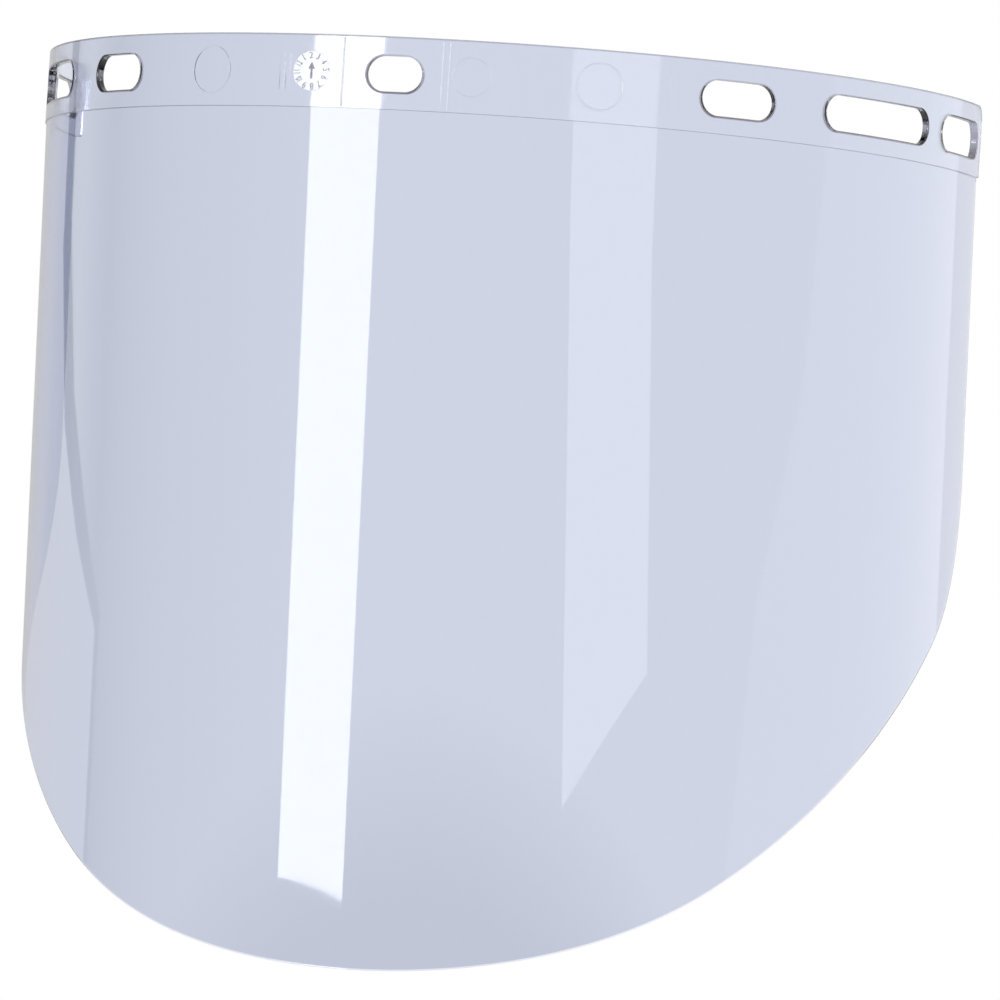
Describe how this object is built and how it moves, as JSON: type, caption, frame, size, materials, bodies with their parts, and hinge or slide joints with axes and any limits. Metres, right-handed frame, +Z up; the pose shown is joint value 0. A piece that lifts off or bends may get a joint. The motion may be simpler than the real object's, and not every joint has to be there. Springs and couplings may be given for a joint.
{
  "type": "face shield window",
  "caption": "Clear wrap-around window of a face shield: a thin curved visor with a rounded foot, hung from a slotted mounting band along its top edge.",
  "frame": {"origin": "centre of the mounting band's circle, in the plane of the flat top edge, where the headgear's middle sits", "axes": "+Z up, -Y the way the wearer looks, +X towards the wearer's left; the window is symmetric about X = 0"},
  "size_m": [0.2364, 0.129, 0.2286],
  "materials": {
    "clear_band": "clear polycarbonate, very slightly hazed on its inner face",
    "clear_panel": "optically clear polycarbonate, polished"
  },
  "bodies": {
    "root": {"mounting_band": "clear_band", "window_panel": "clear_panel"}
  },
  "joints": []
}
